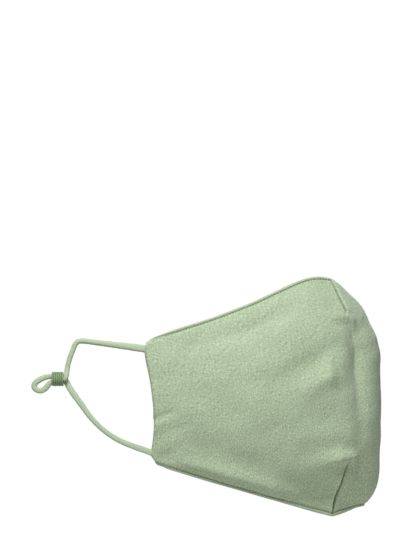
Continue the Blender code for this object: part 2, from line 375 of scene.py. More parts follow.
def add_tube(name, line, radii, turns=16, boxy=1.0):
    """Closed tube. radii has a width across and a width upright for each ring."""
    along, side, upright = side_of_line(line)
    angle = np.arange(turns) * 2 * math.pi / turns
    outline = [np.sign(wave) * np.abs(wave) ** boxy for wave in (np.cos(angle), np.sin(angle))]
    rings = (line[:, None]
             + side[:, None] * (radii[:, 0, None] * outline[0])[..., None]
             + upright[:, None] * (radii[:, 1, None] * outline[1])[..., None])
    count = len(line)
    points = [tuple(p) for p in rings.reshape(-1, 3)]
    points += [tuple(line[0] - along[0] * radii[0].mean() * BLUNT_END),
               tuple(line[-1] + along[-1] * radii[-1].mean() * BLUNT_END)]
    faces = [(r * turns + k, r * turns + (k + 1) % turns, (r + 1) * turns + (k + 1) % turns,
              (r + 1) * turns + k) for r in range(count - 1) for k in range(turns)]
    first, last = count * turns, count * turns + 1
    faces += [((k + 1) % turns, k, first) for k in range(turns)]
    faces += [((count - 1) * turns + k, (count - 1) * turns + (k + 1) % turns, last)
              for k in range(turns)]
    mesh = bpy.data.meshes.new(name)
    mesh.from_pydata(points, [], faces)
    distance = walked_along(line)
    layer = mesh.uv_layers.new(name="along")
    for face in mesh.polygons:
        wraps = len(face.vertices) == 4 and face.vertices[0] % turns == turns - 1
        for loop in face.loop_indices:
            vertex = mesh.loops[loop].vertex_index
            if vertex >= count * turns:
                layer.data[loop].uv = (0.5, distance[0 if vertex == first else -1])
                continue
            ring, turn = divmod(vertex, turns)
            around = 1.0 if wraps and turn == 0 else turn / turns
            layer.data[loop].uv = (around, distance[ring])
    fix_outward(mesh)
    mesh.shade_smooth()
    print(name, "faces:", len(mesh.polygons))
    return add_piece(name, mesh)


# %% [markdown]
# ## The two ear loops
# The elastic is a soft, nearly flat band. It is thickest where it runs free, wider and flatter
# where the cloth holds it and in the middle of the lower run, and a little pressed at its slack
# end. So each ring of the tube gets a width across and a width upright of its own. The left
# loop is the same line mirrored, because both are cut and tied alike.

# %% Make the two ear loops
FLAT_END = 0.50                              # thickness left where the cloth holds the elastic
WIDE_UPPER = 1.50
WIDE_LOWER = 1.25
END_LENGTH = 0.020
WIDE_RUN = 1.30                              # widest place of the lower run, and its reach
WIDE_RUN_AT = 0.66
RUN_LENGTH = 0.016
FLAT_BACK = 0.90                             # the slack end is pressed a little flat, too
WIDE_BACK = 1.12
BACK_FROM = 1.17
RUN_FLAT = 0.6                               # how much of the flattening the lower run has
BACK_FADE = 0.003
BOXY = 0.80                                  # 1 is an ellipse, less is nearer to a flat band
UNEVEN = ((0.020, 900, 0), (0.015, 2300, 1))  # share of the thickness, turns and shift of a wave


def mirrored(line):
    return line * np.array([-1.0, 1.0, 1.0])


def loop_radii(line):
    """Round, wider and flatter towards both sewn ends, a little uneven all along."""
    distance = walked_along(line)
    upper, lower = (np.exp(-(away / END_LENGTH) ** 2) for away in (distance, distance[-1] - distance))
    back = np.clip((line[:, 1] - loop_point(BACK_FROM, 0.7, 0).y) / BACK_FADE, 0, 1)
    run = np.exp(-((distance - WIDE_RUN_AT * distance[-1]) / RUN_LENGTH) ** 2)
    uneven = 1 + sum(share * np.sin(distance * turns + shift) for share, turns, shift in UNEVEN)
    flat = 1 - (1 - FLAT_END) * (upper + lower + RUN_FLAT * run) - (1 - FLAT_BACK) * back
    wide = 1 + (WIDE_UPPER - 1) * upper + (WIDE_LOWER - 1) * lower
    wide += (WIDE_RUN - 1) * run + (WIDE_BACK - 1) * back
    return np.stack([CORD_THICK / 2 * uneven * flat, CORD_THICK / 2 * uneven * wide], axis=1)


radii = loop_radii(right_line)
ear_loop_right = add_tube("elastic_loop_right", right_line, radii, boxy=BOXY)
ear_loop_left = add_tube("elastic_loop_left", mirrored(right_line), radii, boxy=BOXY)
print("widest and flattest ring in mm:", (radii[:, 1].max() * 2000).round(2),
      (radii[:, 0].min() * 2000).round(2))

# %% [markdown]
# ## The ribbed beads
# The bead holds both strands by friction and slides along them to draw the loop in. It is
# turned: an outline with soft round ribs, spun round the line of its bore. A stack of rings
# would do as well, but their hard joints would catch the light. These ribs are smooth waves, so
# light runs over them as over soft rubber.

# %% Spin a bead
BEAD_REACH = 1.086
BEAD_RISE = 0.710
BEAD_LENGTH = 0.0064
BEAD_WALL = 0.00045
BEAD_RIBS = 6
RIB_HEIGHT = 0.0006
RIB_SHAPE = 0.7                              # 1 is a plain wave, less is rounder and fuller
RIB_SUNK = 0.00005
BORE_LIP = 0.0001                            # how far the bore opens at both ends
RIB_STEPS = 10
BORE_STEPS = 6
BEAD_TURNS = 48


def bead_outline():
    """Radius and place along the bore, outer side first, then back through the bore."""
    bore = CORD_THICK + 1.5 * CLEARANCE
    half, steps = BEAD_LENGTH / 2, BEAD_RIBS * RIB_STEPS
    outline = []
    for step in range(steps + 1):
        share = step / steps
        rib = abs(math.sin(math.pi * BEAD_RIBS * share)) ** RIB_SHAPE
        outline.append((bore + BEAD_WALL - RIB_SUNK + RIB_HEIGHT * rib, mix(-half, half, share)))
    outline += [(bore + 2.2 * BORE_LIP, half), (bore + BORE_LIP, half)]
    outline += [(bore, mix(half, -half, step / BORE_STEPS)) for step in range(1, BORE_STEPS)]
    return outline + [(bore + BORE_LIP, -half)]


def add_bead(name, side):
    """Bead at the side -1 (wearer's right) or 1, its bore along Y."""
    centre = loop_point(BEAD_REACH, BEAD_RISE, 0.0)
    centre.x = side * abs(centre.x)
    outline = bead_outline()
    count = len(outline)
    points, faces = [], []
    for turn in range(BEAD_TURNS):
        angle = 2 * math.pi * turn / BEAD_TURNS
        for radius, along in outline:
            points.append((centre.x + radius * math.cos(angle), centre.y + along,
                           centre.z + radius * math.sin(angle)))
        after = (turn + 1) % BEAD_TURNS
        for k in range(count):
            following = (k + 1) % count
            faces.append((turn * count + k, turn * count + following,
                          after * count + following, after * count + k))
    mesh = bpy.data.meshes.new(name)
    mesh.from_pydata(points, [], faces)
    # how near a rib's crown each point is, read by the rubber for painted shade between the ribs
    crown = mesh.attributes.new("crown", "FLOAT", "POINT")
    highest = max(radius for radius, along in outline)
    crown.data.foreach_set("value", [max(0.0, (radius - highest + RIB_HEIGHT) / RIB_HEIGHT)
                                     for radius, along in outline] * BEAD_TURNS)
    fix_outward(mesh)
    mesh.shade_smooth()
    return add_piece(name, mesh)


bead_right = add_bead("ribbed_bead_right", -1)
bead_left = add_bead("ribbed_bead_left", 1)
print("bead faces:", len(bead_right.data.polygons))

# %% [markdown]
# ## The smooth sheet
# The cage is rounded by a Subdivision Surface modifier, whose ridge is creased where the darts
# are. The modifier's result is a grid, but Blender hands it back in an order of its own, so each
# cage point carries its column and its row in a UV map, and the rounded points are sorted by
# them. As a plain grid of places, the sheet can then be folded by short formulas.

# %% Round the cage and read it back as a grid
ROUNDING = 3


def full_row(row):
    """A level from the wearer's right ear to the left one."""
    other = [Vector((-p.x, p.y, p.z)) for p in row[1:]]
    return list(reversed(row)) + other


def rounded_grid():
    rows = [full_row(row) for row in cage_rows]
    wide = len(rows[0])
    points = [tuple(p) for row in rows for p in row]
    faces = [(r * wide + k, r * wide + k + 1, (r + 1) * wide + k + 1, (r + 1) * wide + k)
             for r in range(len(rows) - 1) for k in range(wide - 1)]
    mesh = bpy.data.meshes.new("cage")
    mesh.from_pydata(points, [], faces)
    places = mesh.uv_layers.new(name="places")
    for loop in mesh.loops:
        row, column = divmod(loop.vertex_index, wide)
        places.data[loop.index].uv = (column, row)
    crease = mesh.attributes.new("crease_edge", "FLOAT", "EDGE")
    half = wide // 2
    ridges = (half - RIDGE_COLUMN, half + RIDGE_COLUMN)
    for edge in mesh.edges:
        low, high = sorted(edge.vertices)
        if high - low == wide and low % wide in ridges:
            crease.data[edge.index].value = LEVELS[low // wide]["crease"]
    carrier = add_piece("cage", mesh)
    rounding = carrier.modifiers.new("rounding", "SUBSURF")
    rounding.levels = ROUNDING
    rounding.render_levels = ROUNDING
    rounding.uv_smooth = "NONE"
    rounding.boundary_smooth = "PRESERVE_CORNERS"
    evaluated = carrier.evaluated_get(bpy.context.evaluated_depsgraph_get())
    fine = bpy.data.meshes.new_from_object(evaluated)
    finer = 2 ** ROUNDING
    grid = np.zeros(((len(rows) - 1) * finer + 1, (wide - 1) * finer + 1, 3))
    for loop, place in zip(fine.loops, fine.uv_layers["places"].data):
        column, row = (round(value * finer) for value in place.uv)
        grid[row, column] = fine.vertices[loop.vertex_index].co
    bpy.data.objects.remove(carrier, do_unlink=True)
    return grid


sheet_grid = rounded_grid()
print("rounded grid:", sheet_grid.shape)

# %% [markdown]
# ## A finer grid
# The stitched edges need rows a third of a millimetre apart, and the darts need columns as
# close, but the rest of the cloth doesn't. More rounding would make all of it finer and the
# mesh heavy, so the grid is read again instead, first at chosen columns and then at chosen rows.

# %% Read the sheet at finer columns
COLUMN_STEP = 0.00112
RIDGE_STEP = 0.00026                         # columns stand closer where the darts are
RIDGE_BAND = 0.0030
EAR_TRIM = 0.0006
FINE_COUNT = 6001                            # places at which the spacing is worked out


def read_smoothly(values, at):
    """Catmull-Rom reading of an array along its first axis, at fractional places."""
    last = len(values) - 1
    index = np.clip(np.floor(at).astype(int), 0, last - 1)
    t = (at - index)[(...,) + (None,) * (values.ndim - 1)]
    a, b, c, d = (values[np.clip(index + k, 0, last)] for k in (-1, 0, 1, 2))
    return 0.5 * (2 * b + (c - a) * t + (2 * a - 5 * b + 4 * c - d) * t ** 2
                  + (3 * b - a - 3 * c + d) * t ** 3)


def column_places(walked, ridge_indices):
    """Distances of the columns along the middle row, closest at the two ridges."""
    fine = np.linspace(EAR_TRIM, walked[-1] - EAR_TRIM, FINE_COUNT)
    density = np.full(len(fine), 1 / COLUMN_STEP)
    for index in ridge_indices:
        away = (fine - walked[index]) / RIDGE_BAND
        density += (1 / RIDGE_STEP - 1 / COLUMN_STEP) * np.exp(-away ** 4)
    counted = np.concatenate([[0.0], np.cumsum((density[1:] + density[:-1]) / 2 * np.diff(fine))])
    count = int(round(counted[-1])) + 1
    return np.interp(np.linspace(0, counted[-1], count), counted, fine)


middle_walk = walked_along(sheet_grid[sheet_grid.shape[0] // 2])
half_columns = (sheet_grid.shape[1] - 1) // 2
ridge_indices = [half_columns + side * RIDGE_COLUMN * 2 ** ROUNDING for side in (-1, 1)]
column_walk = column_places(middle_walk, ridge_indices)
COLUMNS = len(column_walk)
column_at = np.interp(column_walk, middle_walk, np.arange(len(middle_walk)))
wide_grid = read_smoothly(sheet_grid.transpose(1, 0, 2), column_at)
print("columns:", COLUMNS, "middle row in mm:", round(middle_walk[-1] * 1000, 1))

# %% [markdown]
# ## Rows that crowd at the edges
# Each column gets its rows by distance, closest in the narrow band where the stitches pull the
# cloth in. How far each point lies from the bottom edge, from the top edge and up the levels is
# kept beside the grid, because grooves, darts and the flat cut are all laid out by it.

# %% Read the sheet at finer rows
EDGE_ROWS = 14
EDGE_BAND = 0.0042
MIDDLE_ROWS = 105


def row_distances(length):
    """Distances from the bottom edge for one column of that length."""
    low = np.linspace(0.0, EDGE_BAND, EDGE_ROWS, endpoint=False)
    high = length - low[::-1]
    return np.concatenate([low, np.linspace(EDGE_BAND, length - EDGE_BAND, MIDDLE_ROWS), high])


columns, from_bottom, from_top, level_at = [], [], [], []
for column in wide_grid:
    length = walked_along(column)
    wanted = row_distances(length[-1])
    at = np.interp(wanted, length, np.arange(len(length)))
    columns.append(read_smoothly(column, at))
    from_bottom.append(wanted)
    from_top.append(length[-1] - wanted)
    level_at.append(at / (len(length) - 1))
sheet = np.array(columns).transpose(1, 0, 2)
from_bottom, from_top, level_at = (np.array(a).T for a in (from_bottom, from_top, level_at))
along_middle = column_walk - middle_walk[-1] / 2
print("fine sheet:", sheet.shape)

# %% [markdown]
# ## Soft folds and dents
# Cloth that is sewn over darts never lies quite smooth. A cloth simulation would fold it
# somewhere, but here each fold has its place. It is a line of points as seen from the side, each
# with a width and a height in millimetres: a minus sinks the cloth. The sheet is moved along its
# normal by a soft bell across that line, as a sculpting brush would. The far cheek takes the
# same folds, a little shifted and weaker, so that the mask isn't a mirror image of itself.

# %% Table of folds
# back and up from the seat of the nose, width of the bell, height
FOLDS = {
    "groove below the top edge": (
        (80.5, -36.8, 4.5, -0.6), (52.5, -29.0, 5.0, -1.6), (32.9, -20.6, 4.5, -1.6),
        (18.9, -13.9, 3.5, -0.4)),
    "slanting groove across the cheek": (
        (-2.4, -36.5, 6.0, -2.0), (12.1, -45.2, 7.0, -2.2), (24.5, -53.1, 8.0, -1.4),
        (42.4, -57.6, 8.0, -0.5)),
    "hollow behind the ridge": (
        (-10.8, -18.8, 3.0, -1.6), (-14.6, -27.0, 6.0, -3.4), (-16.5, -38.0, 8.5, -4.1),
        (-16.5, -48.5, 9.0, -5.3), (-16.5, -57.5, 8.5, -4.6), (-16.0, -67.6, 7.0, -3.0),
        (-15.0, -77.0, 5.5, -1.6), (-14.5, -88.0, 5.0, -0.5)),
    "front kept out beside the hollow": (
        (-26.0, -34.0, 5.0, 0.8), (-27.0, -50.0, 5.0, 1.1), (-27.0, -70.0, 5.0, 0.9),
        (-27.0, -95.0, 5.0, 0.4)),
    "crest of the ridge": (
        (-9.8, -16.8, 1.6, 0.5), (-14.8, -28.5, 1.8, 0.8), (-19.4, -38.5, 1.8, 0.4),
        (-20.2, -52.0, 1.8, 0.1), (-20.4, -66.0, 2.0, 0.1), (-19.0, -88.9, 2.0, 0.1)),
    "pinch below the nose dart's point": (
        (5.0, -18.6, 2.2, 0.3), (-4.0, -19.4, 2.0, 1.1), (-11.5, -21.0, 1.7, 1.1)),
    "hollow under that pinch": (
        (0.0, -23.6, 2.6, -0.5), (-7.5, -25.0, 3.4, -1.5), (-11.0, -30.0, 3.4, -0.8)),
    "deepest part of the hollow": (
        (-13.8, -28.0, 3.2, -0.9), (-16.2, -38.0, 3.8, -1.5), (-17.2, -48.0, 4.2, -2.0),
        (-17.4, -60.0, 4.4, -2.0), (-17.2, -71.0, 4.0, -1.4), (-16.6, -84.0, 3.6, -0.7)),
    "upper part of the hollow": (
        (-11.6, -31.5, 4.2, -0.7), (-12.5, -41.0, 5.0, -1.3), (-12.5, -50.0, 5.0, -1.1),
        (-12.5, -59.0, 4.0, -0.3)),
    "sharp shoulder of the hollow": (
        (2.6, -44.0, 3.0, 0.8), (2.2, -51.0, 3.4, 1.9), (-1.0, -60.0, 3.6, 0.5)),
    "puff beside the hollow": (
        (3.5, -54.5, 4.5, 1.8), (12.1, -59.6, 6.0, 1.4), (24.5, -67.4, 8.0, 0.6)),
    "puff below the hollow": (
        (-8.0, -86.5, 6.0, 1.2), (0.5, -87.0, 6.5, 1.1), (16.1, -88.6, 7.0, 0.5)),
    "puff at the chin dart's point": (
        (-9.6, -98.2, 3.0, 3.3), (-3.4, -98.8, 4.0, 4.9), (5.0, -101.2, 4.8, 2.3),
        (15.0, -105.0, 5.5, 0.6)),
    "chin drawn in under its puff": (
        (-12.0, -126.0, 9.0, -3.2), (6.0, -124.0, 10.0, -4.8), (26.0, -121.0, 8.0, -2.2)),
    "puff along the bottom edge": (
        (84.0, -101.8, 3.2, 0.8), (67.0, -105.8, 3.5, 2.1), (40.0, -113.6, 3.8, 2.3),
        (20.0, -120.5, 3.8, 1.2)),
    "hollow above that puff": (
        (74.9, -93.3, 5.0, -0.5), (52.5, -99.4, 5.5, -0.8), (36.8, -105.0, 5.0, -0.4)),
    "short crease at the ear edge": (
        (101.2, -77.2, 2.0, -1.1), (90.5, -73.2, 2.0, -0.4)),
    "lip of that crease": (
        (100.0, -81.4, 3.0, 0.4), (86.0, -77.0, 3.0, 0.2)),
    "first drag line at the lower corner": (
        (102.9, -91.2, 3.2, -0.5), (88.3, -82.2, 3.2, -0.2)),
    "second drag line at the lower corner": (
        (94.5, -98.0, 3.4, -0.7), (79.3, -88.9, 3.4, -0.3)),
    "ear side flaring out": (
        (103.0, -40.0, 16.0, 0.8), (103.0, -70.0, 18.0, 0.9), (100.0, -92.0, 14.0, 0.6)),
    "fullness of the chin": (
        (-22.7, -108.0, 6.0, 0.3), (-20.5, -120.0, 6.0, 0.8)),
}
print("folds:", len(FOLDS))

# %% [markdown]
# ## Apply the folds
# For each fold the nearest place on its line is found, and the bell's width and height are
# taken from there. A few long, faint waves that cross add the unevenness of cloth that was
# worn, without a pattern that the eye could follow.

# %% Heights of the folds
FAR_SHIFT = np.array((0.0025, -0.0015))      # the far cheek folds a little differently
FAR_SHARE = 0.8
FAR_BLEND = 0.024                            # width of the change, across the front
WAVES = (                                    # turns back, up and out for each metre, shift, height
    (210, 90, 40, 0.3, 0.00016), (-120, 260, 60, 1.9, 0.00014), (330, -180, 90, 4.1, 0.00010),
    (90, 420, -70, 2.6, 0.00008), (520, 310, 120, 5.2, 0.00005),
)


def fold_heights(points):
    """How far each point of the sheet is moved outwards by all the folds."""
    far = np.clip(0.5 + points[..., 0] / FAR_BLEND, 0.0, 1.0)
    place = points[..., 1:] + far[..., None] * FAR_SHIFT
    total = np.zeros(points.shape[:2])
    for rows in FOLDS.values():
        knots = np.array(rows) / 1000
        nearest = np.full(points.shape[:2], np.inf)
        height = np.zeros(points.shape[:2])
        for first, last in zip(knots, knots[1:]):
            run = last[:2] - first[:2]
            share = np.clip(((place - first[:2]) @ run) / (run @ run), 0.0, 1.0)
            knot = first + share[..., None] * (last - first)
            away = np.linalg.norm(place - knot[..., :2], axis=2) / knot[..., 2]
            height = np.where(away < nearest, knot[..., 3], height)
            nearest = np.minimum(away, nearest)
        total += height * np.exp(-nearest ** 2)
    return total * (1 - (1 - FAR_SHARE) * far)


def slow_waves(points):
    """Faint unevenness all over, from a few long waves that cross."""
    x, y, z = (points[..., axis] for axis in range(3))
    total = np.zeros(points.shape[:2])
    for turns_y, turns_z, turns_x, shift, height in WAVES:
        total += height * np.sin(turns_y * y + turns_z * z + turns_x * x + shift)
    return total


print("long waves:", len(WAVES))

# %% [markdown]
# ## Darts and stitched grooves
# A dart is a seam that ends in a point: the cloth sinks at the seam, and the seam allowance
# behind it lifts a low ridge beside it. Along both edges the stitches pull the cloth down into a
# groove, and the cloth beyond it rolls over as a round edge. These are narrow forms, so they are
# heights too, laid out by the distance from the ridge and from the edge.

# %% Heights of darts and grooves
# share of the sheet where the dart ends, slit depth and width, lift beside it on the front
# side and on the cheek side, in metres, and how far the seam leans to the cheek at its point
DARTS = {
    "nose": dict(point=0.815, slit=0.0018, slit_width=0.00055, front_lift=0.0012,
                 front_at=0.0012, cheek_lift=0.0003, lean=0.0014),
    "chin": dict(point=0.275, slit=0.0026, slit_width=0.00048, front_lift=0.0003,
                 front_at=0.0016, cheek_lift=0.0008, lean=0.0),
}
POINT_FADE = 0.025
CHEEK_LIFT_AT = -0.0012
LIFT_WIDTH = 0.0011
GROOVE_DEPTH = 0.00070
GROOVE_WIDTH = 0.0008
STITCH_PITCH = 0.0018
TUCKED = 0.0006                              # how far the sheet reaches under the rolled edge
ridge_columns = [int(np.argmin(np.abs(column_at - index))) for index in ridge_indices]


def dart_strength(name, level):
    """1 along a dart and 0 away from it, fading at its point."""
    past = level - DARTS[name]["point"]
    return np.clip((past if name == "nose" else -past) / POINT_FADE, 0, 1)


def walked_across(points):
    """Distance along each row of the grid, from its first column."""
    steps = np.linalg.norm(np.diff(points, axis=1), axis=2)
    return np.concatenate([np.zeros((len(points), 1)), np.cumsum(steps, axis=1)], axis=1)


def dart_relief(points):
    """Heights of the darts over the sheet, and how deep in a dart's seam each point lies."""
    total, seam = np.zeros(points.shape[:2]), np.zeros(points.shape[:2])
    walked_row = walked_across(points)
    for column, front in zip(ridge_columns, (1, -1)):
        away = (walked_row - walked_row[:, column:column + 1]) * front
        for name, dart in DARTS.items():
            length = 1 - dart["point"] if name == "nose" else dart["point"]
            near_point = np.clip(1 - np.abs(level_at - dart["point"]) / length, 0, 1)
            side = away + dart["lean"] * near_point
            slit = np.exp(-(side / dart["slit_width"]) ** 2)
            lift = dart["front_lift"] * np.exp(-((side - dart["front_at"]) / LIFT_WIDTH) ** 2)
            lift += dart["cheek_lift"] * np.exp(-((side - CHEEK_LIFT_AT) / LIFT_WIDTH) ** 2)
            strength = dart_strength(name, level_at)
            total += (lift - dart["slit"] * slit) * strength
            # how deep in the seam, kept for the painted shade at the bottom of each dart
            seam += slit * strength
    return total, seam


def groove_heights():
    """The sheet sinks towards each stitched edge."""
    near = np.minimum(from_bottom, from_top)
    return -GROOVE_DEPTH * np.exp(-(near / GROOVE_WIDTH) ** 2)


def tuck_edges(points):
    """Carry the first and last rows on a little, so that they end inside the rolled edge."""
    moved = points.copy()
    low = points[0] - points[3]
    high = points[-1] - points[-4]
    moved[0] += low / np.linalg.norm(low, axis=1)[:, None] * TUCKED
    moved[-1] += high / np.linalg.norm(high, axis=1)[:, None] * TUCKED
    return moved


print("columns of the two ridges:", ridge_columns)

# %% [markdown]
# ## Round the four ear corners
# The grid ends in square corners, but turned cloth can't, because its layers bunch up there.
# Near a corner the square is mapped onto a quarter of a disc, which moves only the points close
# to it and keeps the grid whole. Cutting the corners off would leave a ragged border.

# %% Round the corners
CORNER_RADIUS = {"bottom": 0.0050, "top": 0.0030}


def round_corners(points):
    """Pull the points near each corner inwards onto a rounded outline."""
    moved = points.copy()
    walked_row = walked_across(points)
    for from_ear, inward_column in ((walked_row, 1), (walked_row[:, -1:] - walked_row, -1)):
        for from_edge, inward_row, name in ((from_bottom, 1, "bottom"), (from_top, -1, "top")):
            radius = CORNER_RADIUS[name]
            u = np.clip(1 - from_ear / radius, 0, 1)
            v = np.clip(1 - from_edge / radius, 0, 1)
            pull_u = (u - u * np.sqrt(1 - v ** 2 / 2)) * radius
            pull_v = (v - v * np.sqrt(1 - u ** 2 / 2)) * radius
            across = np.gradient(points, axis=1) * inward_column
            up = np.gradient(points, axis=0) * inward_row
            across /= np.linalg.norm(across, axis=2)[..., None]
            up /= np.linalg.norm(up, axis=2)[..., None]
            moved += across * pull_u[..., None] + up * pull_v[..., None]
    return moved


rounded_sheet = round_corners(sheet)
print("furthest move at a corner in mm:", round(np.abs(rounded_sheet - sheet).max() * 1000, 2))

# %% [markdown]
# ## Outer and inner face
# The folds go through the whole cloth, so they move both faces. Darts and grooves are seen from
# outside, so they are added to the outer face. The inner one is only drawn towards the groove,
# because the stitches press the layers together there.

# %% Fold the sheet and part it in two faces


def outward(points):
    """Unit normals of the grid, away from the face."""
    across = np.gradient(points, axis=1)
    up = np.gradient(points, axis=0)
    normal = np.cross(across, up)
    normal /= np.linalg.norm(normal, axis=2)[..., None]
    return normal * np.sign(-normal[len(points) // 2, COLUMNS // 2, 1])


normals = outward(rounded_sheet)
heights = fold_heights(rounded_sheet) + slow_waves(rounded_sheet)
folded = rounded_sheet + normals * heights[..., None]
normals = outward(folded)
dart_lift, seam_shade_depth = dart_relief(folded)
detail = dart_lift + groove_heights()
outer = folded + normals * detail[..., None]
inner = folded - normals * (WALL + groove_heights())[..., None]
border = {"bottom": folded[0] - normals[0] * WALL / 2,
          "top": folded[-1] - normals[-1] * WALL / 2}
outer, inner = tuck_edges(outer), tuck_edges(inner)
print("highest and lowest move in mm:", round(heights.max() * 1000, 2), round(heights.min() * 1000, 2))

# %% [markdown]
# ## Close the shell
# Outer and inner faces are joined by a rim whose middle bulges, because turned cloth is round
# at its edge. The UV map holds the distance along the sheet and up it in metres, and an
# attribute holds how deep in a dart's seam each point lies, for the painted shade in the darts.

# %% Make the cloth mesh
RIM_BULGE = 0.0005
RIM_INSIDE = 2                               # rows inwards, to tell which way is outwards


def border_ring(shape):
    """Grid places round the border, in order, for a grid of that shape."""
    rows, wide = shape
    ring = [(0, k) for k in range(wide)]
    ring += [(r, wide - 1) for r in range(1, rows)]
    ring += [(rows - 1, k) for k in range(wide - 2, -1, -1)]
    ring += [(r, 0) for r in range(rows - 2, 0, -1)]
    return ring


def add_shell(name, front, back):
    """Closed mesh of a front and a back face that a rounded rim joins."""
    rows, wide = front.shape[:2]
    ring = border_ring((rows, wide))
    middle = []
    for r, k in ring:
        inside_r = min(max(r, RIM_INSIDE), rows - 1 - RIM_INSIDE)
        inside_k = min(max(k, RIM_INSIDE), wide - 1 - RIM_INSIDE)
        away = front[r, k] - front[inside_r, inside_k]
        away /= np.linalg.norm(away)
        middle.append((front[r, k] + back[r, k]) / 2 + away * RIM_BULGE)
    count = rows * wide
    points = np.concatenate([front.reshape(-1, 3), back.reshape(-1, 3), np.array(middle)])
    faces = []
    for r in range(rows - 1):
        for k in range(wide - 1):
            a, b, c, d = r * wide + k, r * wide + k + 1, (r + 1) * wide + k + 1, (r + 1) * wide + k
            faces.append((a, b, c, d))
            faces.append((count + d, count + c, count + b, count + a))
    for index, (r, k) in enumerate(ring):
        after = (index + 1) % len(ring)
        here, there = r * wide + k, ring[after][0] * wide + ring[after][1]
        mid, next_mid = 2 * count + index, 2 * count + after
        faces.append((there, here, mid, next_mid))
        faces.append((next_mid, mid, count + here, count + there))
    mesh = bpy.data.meshes.new(name)
    mesh.from_pydata([tuple(p) for p in points], [], faces)
    painted_seam_shade = mesh.attributes.new("painted_seam_shade", "FLOAT", "POINT")
    seam = np.zeros(len(points))
    seam[:count] = seam_shade_depth.reshape(-1)
    painted_seam_shade.data.foreach_set("value", seam)
    flat = np.stack(np.broadcast_arrays(along_middle[None, :], from_bottom), axis=2).reshape(-1, 2)
    ring_flat = [flat[r * wide + k] for r, k in ring]
    places = np.concatenate([flat, flat, np.array(ring_flat)])
    layer = mesh.uv_layers.new(name="cut")
    vertex = np.zeros(len(mesh.loops), int)
    mesh.loops.foreach_get("vertex_index", vertex)
    layer.data.foreach_set("uv", places[vertex].astype(np.float32).reshape(-1))
    fix_outward(mesh)
    mesh.shade_smooth()
    print(name, "faces:", len(mesh.polygons))
    return add_piece(name, mesh)


mask_cloth = add_shell("sewn_cloth", outer, inner)

# %% [markdown]
# ## The rolled edges
# Beyond the groove the turned cloth forms a thin round roll. It could be bent up out of the
# sheet itself, but that would need many more rows, so it is a tube of its own along the border.
# It is pinched a little at each stitch, and it thins out towards the ear corners.

# %% Make the rolls
ROLL_RADIUS = HEM_THICK / 2
ROLL_REACH = {"bottom": 0.948, "top": 0.965}
PINCH = 0.07
ROLL_STEP = 0.00045
THIN_LENGTH = 0.012                          # the roll thins out over this length, to this share
THIN_END = 0.20
THIN_SHAPE = 0.6


def edge_line(name):
    """Middle line of a roll, just beyond the border of the sheet."""
    rows = (0, 3) if name == "bottom" else (-1, -4)
    away = folded[rows[0]] - folded[rows[1]]
    away /= np.linalg.norm(away, axis=1)[:, None]
    return border[name] + away * (CLEARANCE + ROLL_RADIUS)


def add_roll(name, edge):
    line = edge_line(edge)
    whole = walked_along(line)
    reach = ROLL_REACH[edge]
    trimmed = (whole > whole[-1] * (1 - reach) / 2) & (whole < whole[-1] * (1 + reach) / 2)
    line = evenly(line[trimmed], ROLL_STEP)
    distance = walked_along(line)
    pinch = 1 - PINCH * (0.5 + 0.5 * np.cos(2 * math.pi * distance / STITCH_PITCH))
    ends = np.minimum(distance, distance[-1] - distance)
    thin = mix(THIN_END, 1.0, np.clip(ends / THIN_LENGTH, 0, 1) ** THIN_SHAPE)
    radius = ROLL_RADIUS * pinch * thin
    return add_tube(name, line, np.stack([radius, radius], axis=1), turns=14)


top_roll = add_roll("top_roll", "top")
bottom_roll = add_roll("bottom_roll", "bottom")
print("roll thickness in mm:", HEM_THICK * 1000)

# %% [markdown]
# ## The stitches
# A row of short thread runs lies in each groove. They repeat along a line, so a small tree of
# nodes sets them out: it walks the line at the stitch pitch, lays one stretched ball along the
# line at each place and makes the result real. Its result is then kept as a plain mesh.

# %% Build the stitch tree
STITCH_LENGTH = 0.00125
THREAD_THICK = 0.00044
UNEVEN_FROM = 0.88                           # no two stitches are quite the same length
UNEVEN_TO = 1.08


